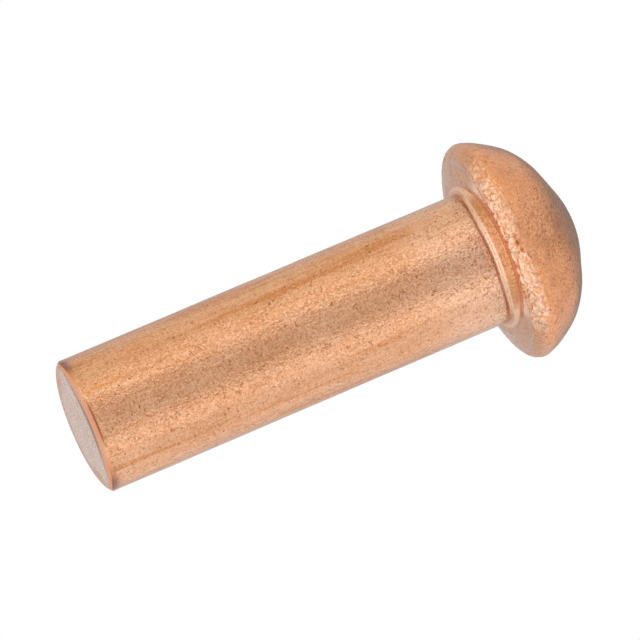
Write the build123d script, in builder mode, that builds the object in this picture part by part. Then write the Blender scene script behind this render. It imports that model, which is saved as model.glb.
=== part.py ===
from build123d import *
import os

# Round head rivet: a solid copper blank, cold headed from drawn wire as one piece.
#
# Millimetres. The rivet stands on its tail end: Z = 0 is the flat of that end, and +Z runs
# up the middle of the shank to the crown of the head.

# Shank
shank_diameter = 5.0
shank_length = 16.0  # from the tail end to the bearing face under the head
tail_flat_diameter = 3.5  # the flat that the shears leave inside the rounded edge
tail_edge_height = 0.27
neck_radius = 0.25

# Head
head_height = 3.5  # from the bearing face to the crown
bearing_diameter = 6.0  # flat ring round the neck; the underside falls away outside it
crown_radius = 3.8
flank_angle = 24  # slope of the straight flank between the crown and the shoulder
flank_length = 0.9
corner_diameter = 8.5  # where shoulder and underside would meet if the rim were sharp
corner_rise = 0.4  # height of that corner above the bearing face
rim_radius = 0.45

shank_radius = shank_diameter / 2
tail_flat_radius = tail_flat_diameter / 2
tail_edge_width = shank_radius - tail_flat_radius
crown = (0, shank_length + head_height)
corner = (corner_diameter / 2, shank_length + corner_rise)
bearing_edge = (bearing_diameter / 2, shank_length)

with BuildPart() as rivet:
    with BuildSketch(Plane.XZ):
        with BuildLine():
            Line((0, 0), (tail_flat_radius, 0))
            tail_edge = EllipticalCenterArc(
                center=(tail_flat_radius, tail_edge_height),
                x_radius=tail_edge_width,
                y_radius=tail_edge_height,
                start_angle=270,
                arc_size=90,
            )
            Polyline(tail_edge @ 1, (shank_radius, shank_length), bearing_edge, corner)
            crown_arc = JernArc(crown, (1, 0), crown_radius, -flank_angle)
            flank = Line(crown_arc @ 1, crown_arc @ 1 + flank_length * (crown_arc % 1))
            TangentArc(flank @ 1, corner, tangent=flank % 1)
            Line(crown, (0, 0))
        make_face()
    revolve(axis=Axis.Z)
    rings = rivet.edges().filter_by(GeomType.CIRCLE)
    rim = rings.sort_by(SortBy.RADIUS)[-1]
    neck = rings.filter_by_position(Axis.Z, shank_length, shank_length).sort_by(SortBy.RADIUS)[0]
    fillet(rim, rim_radius)
    fillet(neck, neck_radius)

rivet.part.label = "rivet"
os.makedirs("parts", exist_ok=True)
export_step(rivet.part, "parts/rivet.step")
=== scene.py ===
"""Round head rivet in copper, standing on its tail end. Metres; the shank runs up +Z."""

import math

import bmesh
import bpy
from mathutils import Matrix, Vector, noise


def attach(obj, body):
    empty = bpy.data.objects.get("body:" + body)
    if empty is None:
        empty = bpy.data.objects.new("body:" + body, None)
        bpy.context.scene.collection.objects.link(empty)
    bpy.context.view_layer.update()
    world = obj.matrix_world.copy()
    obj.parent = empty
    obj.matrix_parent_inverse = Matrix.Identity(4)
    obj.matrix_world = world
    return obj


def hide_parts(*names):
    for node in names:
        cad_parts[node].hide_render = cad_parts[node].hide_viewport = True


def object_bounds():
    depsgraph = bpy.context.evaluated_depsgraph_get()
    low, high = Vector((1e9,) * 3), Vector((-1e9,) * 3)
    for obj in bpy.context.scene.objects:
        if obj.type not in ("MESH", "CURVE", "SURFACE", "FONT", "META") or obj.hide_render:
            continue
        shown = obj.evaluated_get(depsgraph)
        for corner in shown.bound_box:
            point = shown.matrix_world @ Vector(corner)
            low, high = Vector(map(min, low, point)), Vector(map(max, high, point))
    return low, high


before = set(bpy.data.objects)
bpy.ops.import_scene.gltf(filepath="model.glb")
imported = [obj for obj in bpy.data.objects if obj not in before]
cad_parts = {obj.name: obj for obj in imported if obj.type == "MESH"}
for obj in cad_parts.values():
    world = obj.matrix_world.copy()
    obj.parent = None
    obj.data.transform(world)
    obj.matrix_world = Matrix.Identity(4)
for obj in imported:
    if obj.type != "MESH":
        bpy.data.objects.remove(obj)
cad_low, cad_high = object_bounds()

MM = 0.001

# The rivet, millimetres and degrees
SHANK_RADIUS = 2.5
SHANK_LENGTH = 16.0
TAIL_FLAT = 1.75
TAIL_EDGE_HEIGHT = 0.27
NECK_START = 15.69
LIP_RADIUS = 0.08
LIP_TURN = 55.0
LIP_RUN = 0.03
NECK_HOLLOW = 0.10
COLLAR_SLOPE = 60.0
COLLAR_RUN = 0.20
BEARING_RADIUS = 3.0
UNDERSIDE_SLOPE = 17.745
UNDERSIDE_RUN = 0.8915
RIM_RADIUS = 0.45
RIM_TURN = 90.324
SHOULDER_RADIUS = 3.2575
SHOULDER_TURN = 47.932
FLANK_RUN = 0.9
CROWN_RADIUS = 3.8

# Its mesh: steps round the axis, and how much of the shank has closer rows beside either end
SPIN_STEPS = 432
CLOSE_BY_TAIL = 0.4
CLOSE_BY_NECK = 0.3

# How far the metal moved when it was headed, millimetres
BEAD_HANG = 0.31
UNDERSIDE_DRAW = 0.16
NECK_RISE = 0.22

# The arc at which the sheared end face stops in front: how far its centre lies behind the axis,
# the square of its reach at the sides, and the furthest that the face goes
ARC_CENTRE = 2.52
ARC_REACH_SQUARED = 10.46
WIDEST_FLAT = 2.4
EDGE_DROP = 0.62  # share of its height that the edge beyond the arc loses

# Depths of the marks, millimetres
CREASE_DEPTH = 0.085
CRUMB_DEPTH = 0.03
RING_DEPTH = 0.016
HOLLOW_DEPTH = 0.15
PINCH_DEPTH = 0.09
DENT_DEPTH = 0.022
DRAW_DEPTH = 0.004
WAVE_DEPTH = 0.006
DIE_LINE_DEPTH = 0.012
CURL_DEPTH = 0.025

# What is painted on the metal, kept at each vertex from 0 to 1: painted shade, painted highlights,
# unrubbed orange metal and painted light, and the fresh cut end with painted pale reflection
METAL = ("painted_shade", "painted_highlight", "bare_and_painted_light", "sheared_and_painted_reflection")


# ---- Outline of the blank, drawn with a vertex that runs and bends -----------------------------

def run(bm, tip, heading, length, rows):
    """Carries the outline straight on, and gives back its new end."""
    angle = math.radians(heading)
    step = Vector((math.cos(angle), 0, math.sin(angle))) * (length * MM / rows)
    for _ in range(rows):
        tip = bmesh.ops.extrude_vert_indiv(bm, verts=[tip])["verts"][0]
        bmesh.ops.translate(bm, verts=[tip], vec=step)
    return tip


def bend(bm, tip, heading, radius, turn, rows):
    """Carries the outline round an arc, left for a positive turn, and gives back its new end."""
    angle = math.radians(heading)
    left = Vector((-math.sin(angle), 0, math.cos(angle)))
    centre = tip.co + left * math.copysign(radius * MM, turn)
    made = bmesh.ops.spin(bm, geom=[tip], cent=centre, axis=(0, -1, 0),
                          angle=math.radians(turn), steps=rows, use_duplicate=False)
    return next(item for item in made["geom_last"] if isinstance(item, bmesh.types.BMVert))


def draw_outline(bm):
    """Half section of the blank, from the middle of the tail end to the crown."""
    start = bm.verts.new((0, 0, 0))
    edge_start = run(bm, start, 0, TAIL_FLAT, 8)
    known = set(bm.verts)
    edge_end = bend(bm, edge_start, 0, TAIL_EDGE_HEIGHT, 90, 18)
    rounding = [v for v in bm.verts if v not in known]
    widen = (SHANK_RADIUS - TAIL_FLAT) / TAIL_EDGE_HEIGHT
    bmesh.ops.scale(bm, verts=rounding, vec=(widen, 1, 1),
                    space=Matrix.Translation(-edge_start.co))
    shank = NECK_START - (CLOSE_BY_TAIL + CLOSE_BY_NECK) - TAIL_EDGE_HEIGHT
    neck = run(bm, edge_end, 90, CLOSE_BY_TAIL, 6)
    neck = run(bm, neck, 90, shank, 40)
    neck = run(bm, neck, 90, CLOSE_BY_NECK, 12)
    heading = 90 - LIP_TURN
    neck = bend(bm, neck, 90, LIP_RADIUS, -LIP_TURN, 7)
    neck = run(bm, neck, heading, LIP_RUN, 2)
    neck = bend(bm, neck, heading, NECK_HOLLOW, COLLAR_SLOPE - heading, 4)
    collar = run(bm, neck, COLLAR_SLOPE, COLLAR_RUN, 7)
    rise = SHANK_LENGTH - collar.co.z / MM
    bearing = bend(bm, collar, COLLAR_SLOPE, rise / (1 - math.cos(math.radians(COLLAR_SLOPE))),
                   -COLLAR_SLOPE, 6)
    underside = run(bm, bearing, 0, BEARING_RADIUS - bearing.co.x / MM, 4)
    rim = run(bm, underside, UNDERSIDE_SLOPE, UNDERSIDE_RUN, 15)
    shoulder = bend(bm, rim, UNDERSIDE_SLOPE, RIM_RADIUS, RIM_TURN, 24)
    heading = UNDERSIDE_SLOPE + RIM_TURN
    flank = bend(bm, shoulder, heading, SHOULDER_RADIUS, SHOULDER_TURN, 40)
    heading += SHOULDER_TURN
    crown = run(bm, flank, heading, FLANK_RUN, 12)
    pole = bend(bm, crown, heading, CROWN_RADIUS, 180 - heading, 18)
    pole.co.x = start.co.x


def turn_outline(bm):
    """Spins the outline through an eighth of a turn, and doubles that three times."""
    bmesh.ops.spin(bm, geom=bm.verts[:] + bm.edges[:], cent=(0, 0, 0), axis=(0, 0, 1),
                   angle=math.tau / 8, steps=SPIN_STEPS // 8, use_duplicate=False)
    for share in (8, 4, 2):
        copy = bmesh.ops.duplicate(bm, geom=bm.verts[:] + bm.edges[:] + bm.faces[:])["geom"]
        bmesh.ops.rotate(bm, verts=[item for item in copy if isinstance(item, bmesh.types.BMVert)],
                         cent=(0, 0, 0), matrix=Matrix.Rotation(math.tau / share, 3, "Z"))
    bmesh.ops.remove_doubles(bm, verts=bm.verts, dist=0.001 * MM)


# ---- Marks that heading, shearing and tumbling leave, and where light and shade are painted ----

def ramp(value, low, high):
    """0 below low, 1 above high and a soft step between, either way round."""
    share = min(1.0, max(0.0, (value - low) / (high - low)))
    return share * share * (3 - 2 * share)


def bell(value, middle, width, power=2):
    """1 at the middle, and fading out over the width on either side of it."""
    return math.exp(-(((value - middle) / width) ** power))


def polar(point):
    """Distance from the axis, and how far the point faces -Y: 1 in front, 0 at the sides and -1
    behind."""
    radius = math.hypot(point.x, point.y)
    return radius, -point.y / radius if radius > 1e-6 else 0.0


def rim_droop(point):
    """The head filled its die unevenly: in front its rim hangs lower, as a bead, and the underside
    behind the bead is drawn up, while at the sides and the back the neck starts higher. Millimetres
    down."""
    radius, facing = polar(point)
    front = (facing + math.sqrt(facing * facing + 0.03)) / 2
    bead = BEAD_HANG * ramp(radius, 3.3, 3.8) * ramp(point.z, 18.6, 16.7)
    drawn_up = UNDERSIDE_DRAW * ramp(radius, 2.58, 2.74) * ramp(radius, 3.8, 3.3)
    drawn_up *= ramp(point.z, 16.5, 16.3)
    in_neck = min(1.0, max(0.0, (SHANK_LENGTH - point.z) / (SHANK_LENGTH - NECK_START)))
    high_neck = NECK_RISE * in_neck * ramp(point.z, 14.9, NECK_START) * (radius < 2.75)
    return front * (bead - drawn_up) - ramp(front, 1.0, 0.2) * high_neck


def shear_drag(point):
    """The shears ran in from the front: there the end face stops at a flat arc and the edge beyond
    it is shallow. Move in millimetres."""
    radius, facing = polar(point)
    if point.z > 1 or radius < 1e-6:
        return Vector()
    share = ramp(facing, -0.1, 0.25)
    arc = math.sqrt((ARC_CENTRE * facing) ** 2 + ARC_REACH_SQUARED) - ARC_CENTRE * facing
    flat = TAIL_FLAT + (min(WIDEST_FLAT, arc) - TAIL_FLAT) * share
    if radius < TAIL_FLAT:
        out = radius * (flat / TAIL_FLAT - 1)
    else:
        out = (SHANK_RADIUS - radius) * (1 - (SHANK_RADIUS - flat) / (SHANK_RADIUS - TAIL_FLAT))
        out = out if radius < SHANK_RADIUS else 0.0
    drop = EDGE_DROP * point.z * share * ramp(point.z, 0.9, 0.27)
    return Vector((point.x / radius * out, point.y / radius * out, -drop))


def rim_folds(point):
    """Puckers round the rim, where the metal ran last and cold, and finer rings at its sides and
    back. Depth in millimetres, where the rim lies, and 1 in the creases between the puckers."""
    radius, facing = polar(point)
    spot = point / 0.3
    share = ramp(radius, 3.66, 3.9) * ramp(point.z + 0.3 * noise.noise(spot / 2), 17.25, 16.55)
    if share == 0:
        return 0.0, 0.0, 0.0
    wander = Vector((noise.noise(spot), noise.noise(spot + Vector((7, 3, 1))), 0)) * 0.8
    crease = 1 - min(1.0, abs(noise.noise(spot * 1.2 + wander)) * 2.8)
    crumb = noise.noise(point / 0.13 + Vector((3, 9, 4)))
    rings = noise.noise(Vector((point.z / 0.07, radius / 0.07, facing * 1.5)))
    strength = 0.15 + 0.85 * ramp(facing, 0.3, 0.8)
    depth = strength * (CREASE_DEPTH * crease + CRUMB_DEPTH * crumb)
    depth += (1 - strength) * RING_DEPTH * (rings + 1)
    return share * depth, share, crease * strength


def rim_notch(point):
    """A hollow in the middle of the rim's front, with three pinches that run into it. Depth in
    millimetres."""
    radius, facing = polar(point)
    if facing < 0.8:
        return 0.0
    foot = 16.3
    rise = max(0.0, point.z - foot)
    hollow = bell(point.x, 0, 0.15 + 0.5 * rise) * ramp(point.z, foot, 16.6)
    pinch = max(bell(point.x, side * (0.36 - 0.2 * rise), 0.08) for side in (-1, 0, 1))
    depth = HOLLOW_DEPTH * hollow * ramp(point.z, 17.2, 16.7)
    depth += PINCH_DEPTH * pinch * ramp(point.z, 16.9, 16.6)
    return depth * ramp(point.z, 16.2, 16.4) * ramp(radius, 3.7, 3.95)


def dome_dents(point):
    """Shallow knocks from tumbling with the other rivets. Depth in millimetres."""
    share = ramp(point.z, 16.9, 17.5)
    broad = noise.noise(point / 1.7 + Vector((2, 8, 5))) + 0.5 * noise.noise(point / 0.8)
    return share * DENT_DEPTH * max(0.0, broad + 0.7)


def shank_marks(point):
    """Long low marks of the drawing die, and the slight waviness of the wire. Depth in
    millimetres."""
    share = ramp(point.z, 0.1, 0.5) * ramp(point.z, 15.75, 15.4)
    drawn = noise.noise(Vector((point.x / 0.35, point.y / 0.35, point.z / 6)))
    wave = noise.noise(point / 1.9 + Vector((4, 1, 9)))
    return share * (DRAW_DEPTH * (drawn + 1) + WAVE_DEPTH * (wave + 1))


def die_line(point):
    """The heading die leaves a fine groove round the shank just under the head: 1 along it."""
    if point.z > NECK_START + 0.1:
        return 0.0
    facing = polar(point)[1]
    above = point.z - NECK_START + 0.05
    return bell(above, 0, 0.045) * (0.3 + 0.7 * ramp(facing, 0.4, 0.65))


def tail_fold(point):
    """A short curl of metal that the shears left beside the rounded edge: 1 along it."""
    if point.z > 0.6 or point.z < 0.1 or point.y > 0:
        return 0.0
    return bell(point.x, 0, 0.85, 4) * bell(point.z, TAIL_EDGE_HEIGHT, 0.08)


def metal_at(point, normal, in_rim, crease, notch, groove, curl):
    """Painted light and shade at a point, and what the metal is like, as METAL lists it."""
    radius, facing = polar(point)
    lip_end, collar_start = 15.82, 15.86
    collar_edge, nook_start = 2.7, 2.8
    downward = ramp(normal.z, 0.0, -0.2)
    on_end = ramp(point.z, 0.1, 0.05)

    # Under the head: a painted highlight on the lip, orange painted reflection on the collar above
    # it with its sides painted paler, painted light in the nook that the bead hides, and a painted
    # pale reflection on the underside at the sides
    in_lip = ramp(point.z, NECK_START, NECK_START + 0.03) * ramp(point.z, collar_start, lip_end)
    in_lip *= 0.3 + 0.7 * ramp(facing, 0.35, 0.65)
    in_collar = ramp(point.z, lip_end, collar_start) * ramp(radius, nook_start, collar_edge)
    in_collar *= downward
    nook = ramp(radius, collar_edge, nook_start) * ramp(radius, 3.8, 3.7) * downward
    nook *= ramp(facing, 0.5, 0.7)
    under = ramp(radius, 2.55, 2.62) * ramp(-normal.z, 0.2, 0.6) * (1 - in_rim) * (1 - in_collar)
    under *= ramp(facing, 0.85, 0.65)

    # The rim: painted highlights on its puckers, and painted shade in a deeper orange
    # in the creases between them
    pinched = min(1.0, max(notch * 5, crease ** 1.5))
    bead = in_rim * (1 - 0.85 * pinched) * ramp(point.z, 17.3, 16.5)
    bead *= 0.25 + 0.75 * ramp(facing, 0.5, 0.8)

    # The tail: its pale face, partly painted reflection; its orange edge, partly painted light,
    # with two painted glints; a line of painted shade between face and edge; painted shade at its
    # corners
    face = ramp(radius, TAIL_FLAT + 0.02, TAIL_FLAT - 0.05) * on_end
    edge = ramp(radius, TAIL_FLAT, TAIL_FLAT + 0.12) * ramp(point.z, 0.36, 0.26)
    edge *= 0.15 + 0.85 * ramp(facing, -0.1, 0.15)
    glint = 0.5 * bell(abs(point.x), 1.1, 0.45) * edge * ramp(point.z, 0.02, 0.1)
    wide = 0.03 + 0.12 * facing ** 4
    line = bell(radius - TAIL_FLAT, wide, wide) * ramp(facing, 0.0, 0.3) * on_end
    corner = bell(facing, 0.35, 0.3) * ramp(point.z, 0.05, 0.2) * ramp(point.z, 0.7, 0.3)

    # Painted shade: neck groove, tail curl, rim notch, tail corners and the line by the end face
    painted_shade = min(1.0, 0.6 * groove + curl + max(0.0, 3.2 * notch - 0.2) + corner + line)
    # Painted highlights and painted light: lip, puckers, glints, nook and the collar's sides
    painted_highlight = max(in_lip, bead, glint, nook, 0.7 * in_collar * ramp(facing, 0.8, 0.5))
    # Unrubbed orange metal, with painted reflection on the collar and painted shade in rim creases
    bare_and_painted_light = max(0.3 * in_collar, edge, in_rim * pinched)
    # Pale cut end, partly painted reflection, and painted pale reflection on the underside
    sheared_and_painted_reflection = max(face, 0.4 * under)
    return painted_shade, painted_highlight, bare_and_painted_light, sheared_and_painted_reflection


def mark(bm):
    """Moves the surface in by the depth of its marks, and keeps what the metal is like and where
    light and shade are painted on it.
    """
    bm.normal_update()
    layers = [bm.verts.layers.float.new(name) for name in METAL]
    moves = []
    for vert in bm.verts:
        point = vert.co / MM
        folds, in_rim, crease = rim_folds(point)
        notch, groove, curl = rim_notch(point), die_line(point), tail_fold(point)
        depth = folds + notch + DIE_LINE_DEPTH * groove + CURL_DEPTH * curl
        depth += dome_dents(point) + shank_marks(point)
        metal = metal_at(point, vert.normal, in_rim, crease, notch, groove, curl)
        for layer, share in zip(layers, metal):
            vert[layer] = share
        move = shear_drag(point) - Vector((0, 0, rim_droop(point))) - vert.normal * depth
        moves.append((vert, move * MM))
    for vert, move in moves:
        vert.co += move


def make_blank():
    """The rivet's visible surface: one closed mesh with its marks in the geometry."""
    bm = bmesh.new()
    draw_outline(bm)
    turn_outline(bm)
    bmesh.ops.recalc_face_normals(bm, faces=bm.faces)
    mark(bm)
    for face in bm.faces:
        face.smooth = True
    mesh = bpy.data.meshes.new("rivet_blank")
    bm.to_mesh(mesh)
    bm.free()
    blank = bpy.data.objects.new("rivet_blank", mesh)
    bpy.context.scene.collection.objects.link(blank)
    return blank


# ---- Materials ---------------------------------------------------------------------------------

def srgb(code):
    """Linear colour with alpha from an sRGB hex value."""
    parts = [int(code[i:i + 2], 16) / 255 for i in (1, 3, 5)]
    return (*[c / 12.92 if c <= 0.04045 else ((c + 0.055) / 1.055) ** 2.4 for c in parts], 1.0)


def add(tree, kind, settings, *values, out=0, **named):
    """Adds a node with its settings. Values fill its open inputs in order and named ones go by
    name, each a number or a link. Gives back one output: by its name, or the first open one."""
    node = tree.nodes.new(kind)
    for key, value in settings.items():
        setattr(node, key, value)
    pairs = list(zip([socket for socket in node.inputs if socket.enabled], values))
    pairs += [(node.inputs[key.replace("_", " ")], value) for key, value in named.items()]
    for socket, value in pairs:
        if isinstance(value, bpy.types.NodeSocket):
            tree.links.new(value, socket)
        else:
            socket.default_value = value
    return node.outputs[out] if out else next((s for s in node.outputs if s.enabled), None)


def new_material(name):
    """An empty material, and its node tree."""
    material = bpy.data.materials.new(name)
    material.use_nodes = True
    material.node_tree.nodes.clear()
    return material, material.node_tree


SMOOTH = {"interpolation_type": "SMOOTHSTEP"}
COLOUR = {"data_type": "RGBA"}
NUMBER = {"data_type": "FLOAT"}
TIMES = {"operation": "MULTIPLY"}
TIMES_PLUS = {"operation": "MULTIPLY_ADD"}


def tumbled_copper():
    """Copper, drawn to wire, cold headed and tumbled: a satin skin with a soft sheen, long draw
    marks on the shank, a fine curly grain all over, painted pink highlights, painted shade in its
    creases and corners, and a deeper orange that is partly unrubbed metal and partly painted light."""
    material, tree = new_material("tumbled_copper")
    place = add(tree, "ShaderNodeTexCoord", {}, out="Object")
    mm = add(tree, "ShaderNodeMapping", {}, Vector=place, Scale=(1 / MM,) * 3)
    oblong = add(tree, "ShaderNodeMapping", {}, Vector=mm, Scale=(1, 1, 0.3))
    long = add(tree, "ShaderNodeMapping", {}, Vector=mm, Scale=(1, 1, 0.06))
    thin = add(tree, "ShaderNodeMapping", {}, Vector=mm, Scale=(1, 1, 0.04))
    x, y, z = [add(tree, "ShaderNodeSeparateXYZ", {}, mm, out=axis) for axis in "XYZ"]
    painted_shade, painted_highlight, bare_and_painted_light, sheared_and_painted_reflection = [
        add(tree, "ShaderNodeAttribute", {"attribute_name": name}, out="Fac") for name in METAL]

    # Noise scales are one over the millimetres between two peaks. The real grain and grit are a few
    # hundredths of a millimetre, too fine to show, so both are drawn several times as coarse.
    clouds = add(tree, "ShaderNodeTexNoise", {}, Vector=mm, Scale=1 / 2.6, Detail=3.0)
    streaks = add(tree, "ShaderNodeTexNoise", {}, Vector=long, Scale=1 / 0.5, Detail=2.0,
                  Roughness=0.6)
    draws = add(tree, "ShaderNodeTexNoise", {}, Vector=thin, Scale=1 / 0.1, Detail=2.0,
                Roughness=0.6)
    curls = add(tree, "ShaderNodeTexNoise", {}, Vector=mm, Scale=1 / 0.17, Detail=1.0,
                Distortion=1.5)
    grit = add(tree, "ShaderNodeTexNoise", {}, Vector=mm, Scale=1 / 0.085, Detail=1.0,
               Distortion=0.8)
    worms = add(tree, "ShaderNodeMath", {"operation": "PINGPONG"}, curls, 0.5)
    pits = add(tree, "ShaderNodeTexNoise", {}, Vector=mm, Scale=1 / 0.16, Detail=1.0)
    mottle = add(tree, "ShaderNodeTexNoise", {}, Vector=oblong, Scale=1 / 0.5, Detail=2.0)

    # Where each finish lies, in millimetres up the rivet
    on_shank = add(tree, "ShaderNodeMapRange", SMOOTH, z, 15.6, 15.8, 1.0, 0.0)
    by_head = add(tree, "ShaderNodeMapRange", SMOOTH, z, 12.0, 14.6, 0.0, on_shank)
    at_lip = add(tree, "ShaderNodeMapRange", SMOOTH, z, 14.9, 15.6, 0.0, on_shank)
    on_dome = add(tree, "ShaderNodeMapRange", SMOOTH, z, 16.3, 16.8, 0.0, 0.85)
    dome_patches = add(tree, "ShaderNodeMapRange", SMOOTH, z, 16.6, 17.2, 0.0, 0.4)
    on_crown = add(tree, "ShaderNodeMapRange", SMOOTH, z, 18.9, 19.45, 0.0, 0.4)
    in_streak = add(tree, "ShaderNodeMath", TIMES, streaks, on_shank)
    in_draw = add(tree, "ShaderNodeMath", TIMES, draws, on_shank)

    # And in millimetres to either side of its middle: there the streaks are stronger, most of all
    # in front, the draw marks too, and the grit is calmer
    sideways = add(tree, "ShaderNodeMath", {"operation": "ABSOLUTE"}, x)
    streaked = add(tree, "ShaderNodeMapRange", SMOOTH, y, -0.8, 0.6, 0.9, 0.45)
    aside = add(tree, "ShaderNodeMapRange", SMOOTH, sideways, 0.4, 1.6, 0.4, streaked)
    on_sides = add(tree, "ShaderNodeMapRange", SMOOTH, sideways, 1.2, 2.2, 0.15, 0.3)
    calmer = add(tree, "ShaderNodeMapRange", SMOOTH, sideways, 0.5, 1.6, 0.62, 0.42)

    # Each layer: what it follows, where that starts and is full, its share there and its colour
    tone = srgb("#DEA278")
    for share, low, high, most, colour in (
            (clouds, 0.35, 0.65, 1.0, "#E6AE87"),          # slow drift from pink to orange
            (in_streak, 0.50, 0.66, aside, "#D2864F"),     # browner drawing streaks
            (in_streak, 0.44, 0.25, 0.5, "#EBA472"),       # and more orange ones
            (by_head, 0.0, 1.0, 0.45, "#F2C9B0"),          # painted highlight, paler pink near the head
            (at_lip, 0.0, 1.0, 0.6, "#E0BCA2"),            # and greyer close under the head
            (mottle, 0.52, 0.72, 0.3, "#C8855A"),          # brown mottling along the wire
            (on_dome, 0.0, 1.0, 1.0, "#FFB07C"),           # redder dome, and brighter as painted light
            (on_crown, 0.0, 1.0, 1.0, "#C0783E"),          # browner crown
            (clouds, 0.62, 0.4, dome_patches, "#E8A888"),  # pinker patches on the dome
            (mottle, 0.5, 0.68, dome_patches, "#C07C58"),  # and browner ones
            (sheared_and_painted_reflection, 0.0, 1.0, 0.9, "#F6DACB"),           # pale cut end, partly painted reflection; painted on the underside
            (grit, 0.42, 0.68, calmer, "#B5764C"),         # shaded sides of the grit
            (grit, 0.42, 0.28, 0.4, "#F3C4A2"),            # bright sides of the grit
            (worms, 0.455, 0.5, 0.4, "#F7CFB2"),           # painted highlights along the curls
            (curls, 0.60, 0.72, 0.3, "#B97C50"),           # hollows between them
            (curls, 0.655, 0.73, 0.5, "#8E4A2C"),          # dark at their deepest
            (in_draw, 0.56, 0.66, on_sides, "#F3C8A8"),    # fine bright draw marks
            (in_draw, 0.42, 0.28, on_sides, "#B0704A"),    # and dark ones
            (bare_and_painted_light, 0.0, 1.0, 0.85, "#FFA66A"),             # orange: unrubbed metal, painted reflection and painted shade
            (painted_highlight, 0.0, 1.0, 0.85, "#FFD2B4"),        # painted pink highlights
            (pits, 0.75, 0.82, 0.7, "#7A4A2A"),            # dark in the small pits
            (painted_shade, 0.0, 1.0, 0.9, "#7A3214")):          # painted shade in creases and corners
        share = add(tree, "ShaderNodeMapRange", SMOOTH, share, low, high, 0.0, most)
        tone = add(tree, "ShaderNodeMix", COLOUR, share, tone, srgb(colour))

    # Relief in millimetres
    height = 0.0
    for share, tall in ((curls, 0.026), (in_streak, 0.014), (in_draw, 0.006)):
        height = add(tree, "ShaderNodeMath", TIMES_PLUS, share, tall, height)
    pitted = add(tree, "ShaderNodeMapRange", SMOOTH, pits, 0.72, 0.82, 0.0, 0.02)
    height = add(tree, "ShaderNodeMath", {"operation": "SUBTRACT"}, height, pitted)
    bump = add(tree, "ShaderNodeBump", {}, Height=height, Strength=1.0, Distance=MM)

    # Smoother where highlights and the pale cut end are painted, and less metallic where shade is
    # painted
    rough = add(tree, "ShaderNodeMapRange", SMOOTH, clouds, 0.3, 0.7, 0.24, 0.30)
    for share, less in ((painted_highlight, -0.08), (sheared_and_painted_reflection, -0.05)):
        rough = add(tree, "ShaderNodeMath", TIMES_PLUS, share, less, rough)
    metal_out_of_shade = add(tree, "ShaderNodeMath", TIMES_PLUS, painted_shade, -0.9, 1.0)
    metal = add(tree, "ShaderNodeBsdfPrincipled", {}, Base_Color=tone, Metallic=metal_out_of_shade,
                Roughness=rough, Normal=bump, Sheen_Weight=0.1, Sheen_Roughness=0.4)
    add(tree, "ShaderNodeOutputMaterial", {}, Surface=metal)
    return material


def matt_card():
    """White uncoated card, matt, so that it takes a soft shadow and has no shine. It is seen from
    above only, and faded out far from the rivet so that it has no edge."""
    material, tree = new_material("matt_white_card")
    place = add(tree, "ShaderNodeTexCoord", {}, out="Object")
    far = add(tree, "ShaderNodeVectorMath", {"operation": "LENGTH"}, place)
    fade = add(tree, "ShaderNodeMapRange", SMOOTH, far, 30 * MM, 250 * MM, 0.0, 1.0)
    under = add(tree, "ShaderNodeNewGeometry", {}, out="Backfacing")
    gone = add(tree, "ShaderNodeMath", {"operation": "MAXIMUM"}, fade, under)
    card = add(tree, "ShaderNodeBsdfDiffuse", {}, Color=srgb("#F4F3F1"))
    clear = add(tree, "ShaderNodeBsdfTransparent", {})
    both = add(tree, "ShaderNodeMixShader", {}, gone, card, clear)
    add(tree, "ShaderNodeOutputMaterial", {}, Surface=both)
    return material


# ---- Stage -------------------------------------------------------------------------------------

CAMERA_SENSOR = 36.0     # millimetres
CAMERA_LENS = 317.42     # millimetres
CAMERA_DISTANCE = 200.0  # millimetres from the middle of the tail end
CAMERA_BELOW = 10.6      # degrees that the lens looks up from below the tail end
CAMERA_ROLL = 23.05      # degrees left between the shank and level
CAMERA_AIM = Vector((-0.2217, 0, 9.5375)) * MM
CARD_RADIUS = 500.0      # millimetres
LAMP_SIZE = 150.0        # millimetres
MATT_LIGHT = 0.72        # how bright the tent is for matt surfaces, where white is 1

# The tent's uneven parts: the way to the middle of each, the cosines at which it starts and is
# full, and how much dimmer it is, or brighter where that is below 0
TENT_PARTS = (
    ((0, -0.97, 0.24), 0.65, 0.97, 0.25),      # front opening
    ((0, 1, 0), 0.30, 0.95, 0.26),             # room behind
    ((0, 0.82, 0.57), 0.84, 1.0, 0.50),        # back of the roof
    ((0, 0.12, 0.99), 0.76, 1.0, 0.48),        # roof
    ((0, -0.80, -0.60), 0.60, 1.0, -0.22),     # brighter low front
    ((0.87, 0, -0.50), 0.74, 1.0, 0.25),       # low on the right
    ((-0.87, 0, -0.50), 0.74, 1.0, 0.25),      # low on the left
    ((-1, 0, 0), 0.70, 1.0, 0.03),             # left wall
    ((0.85, 0.50, 0.18), 0.75, 1.0, -0.13))    # brighter right rear


def place_camera():
    """Long lens from a little below the tail end, rolled so that the head is at the upper right."""
    below, roll = math.radians(CAMERA_BELOW), math.radians(CAMERA_ROLL)
    spot = Vector((0, -math.cos(below), -math.sin(below))) * CAMERA_DISTANCE * MM
    along = Vector((0, -math.sin(below), math.cos(below)))
    back = (spot - CAMERA_AIM).normalized()
    upward = along * math.sin(roll) - Vector((1, 0, 0)) * math.cos(roll)
    right = upward.cross(back).normalized()
    data = bpy.data.cameras.new("camera")
    data.sensor_width, data.lens = CAMERA_SENSOR, CAMERA_LENS
    camera = bpy.data.objects.new("camera", data)
    turn = Matrix((right, back.cross(right), back)).transposed().to_4x4()
    camera.matrix_world = Matrix.Translation(spot) @ turn
    bpy.context.scene.collection.objects.link(camera)
    bpy.context.scene.camera = camera


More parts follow.
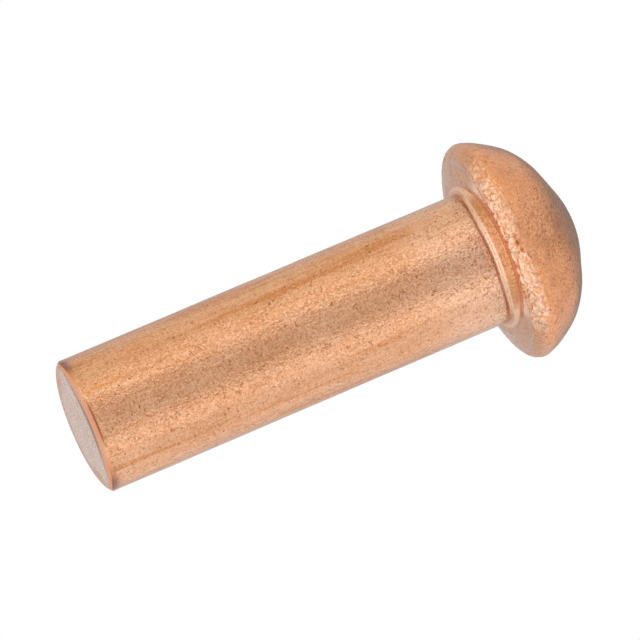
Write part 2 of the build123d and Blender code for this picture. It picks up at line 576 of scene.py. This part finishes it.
def lay_floor():
    """A round sheet of card under the tail end. Only the camera sees it, so light still comes from
    below as from a white table far off."""
    bm = bmesh.new()
    bmesh.ops.create_circle(bm, cap_ends=True, segments=96, radius=CARD_RADIUS * MM)
    mesh = bpy.data.meshes.new("floor")
    bm.to_mesh(mesh)
    bm.free()
    floor = bpy.data.objects.new("floor", mesh)
    mesh.materials.append(matt_card())
    floor.location.z = cad_low.z
    for ray in ("diffuse", "glossy", "transmission", "volume_scatter", "shadow"):
        setattr(floor, "visible_" + ray, False)
    bpy.context.scene.collection.objects.link(floor)


def light_room():
    """A white tent: white to the camera, and an even soft light on matt surfaces. In reflections it
    is dimmer at its front opening, its roof, the room behind and low at both sides, brighter low in
    front and at the right rear, and a little warmer on its left."""
    world = bpy.data.worlds.new("white_tent")
    bpy.context.scene.world = world
    world.use_nodes = True
    tree = world.node_tree
    tree.nodes.clear()
    way = add(tree, "ShaderNodeTexCoord", {}, out="Generated")
    level = 1.0
    for towards, start, end, less in TENT_PARTS:
        facing = add(tree, "ShaderNodeVectorMath", {"operation": "DOT_PRODUCT"}, way, towards,
                     out="Value")
        dimmed = add(tree, "ShaderNodeMapRange", SMOOTH, facing, start, end, 0.0, less)
        level = add(tree, "ShaderNodeMath", {"operation": "SUBTRACT"}, level, dimmed)
    mirrored = add(tree, "ShaderNodeLightPath", {}, out="Is Glossy Ray")
    level = add(tree, "ShaderNodeMix", NUMBER, mirrored, MATT_LIGHT, level)
    for ray in ("Is Camera Ray", "Is Transmission Ray"):
        seen = add(tree, "ShaderNodeLightPath", {}, out=ray)
        level = add(tree, "ShaderNodeMix", NUMBER, seen, level, 1.0)
    left = add(tree, "ShaderNodeVectorMath", {"operation": "DOT_PRODUCT"}, way, (-1, 0, 0),
               out="Value")
    left = add(tree, "ShaderNodeMapRange", SMOOTH, left, 0.4, 0.95)
    left = add(tree, "ShaderNodeMath", TIMES, left, mirrored)
    cloth = add(tree, "ShaderNodeMix", COLOUR, left, srgb("#FFFFFF"), srgb("#FFF9E9"))
    tent = add(tree, "ShaderNodeBackground", {}, Color=cloth, Strength=level)
    add(tree, "ShaderNodeOutputWorld", {}, Surface=tent)


def hang_lamp(name, spot, watts):
    """A square soft lamp that faces the middle of the rivet."""
    data = bpy.data.lights.new(name, "AREA")
    data.shape, data.size, data.energy = "SQUARE", LAMP_SIZE * MM, watts
    lamp = bpy.data.objects.new(name, data)
    middle = (cad_low + cad_high) / 2
    lamp.location = middle + Vector(spot) * MM
    lamp.rotation_mode = "QUATERNION"
    lamp.rotation_quaternion = (middle - lamp.location).to_track_quat("-Z", "Y")
    bpy.context.scene.collection.objects.link(lamp)


rivet = make_blank()
rivet.data.materials.append(tumbled_copper())
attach(rivet, "root")
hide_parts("rivet")

place_camera()
lay_floor()
light_room()
hang_lamp("softbox_left", (-180, -180, 60), 0.031)
hang_lamp("softbox_right", (180, -180, 60), 0.030)

scene = bpy.context.scene
scene.view_settings.view_transform = "Standard"
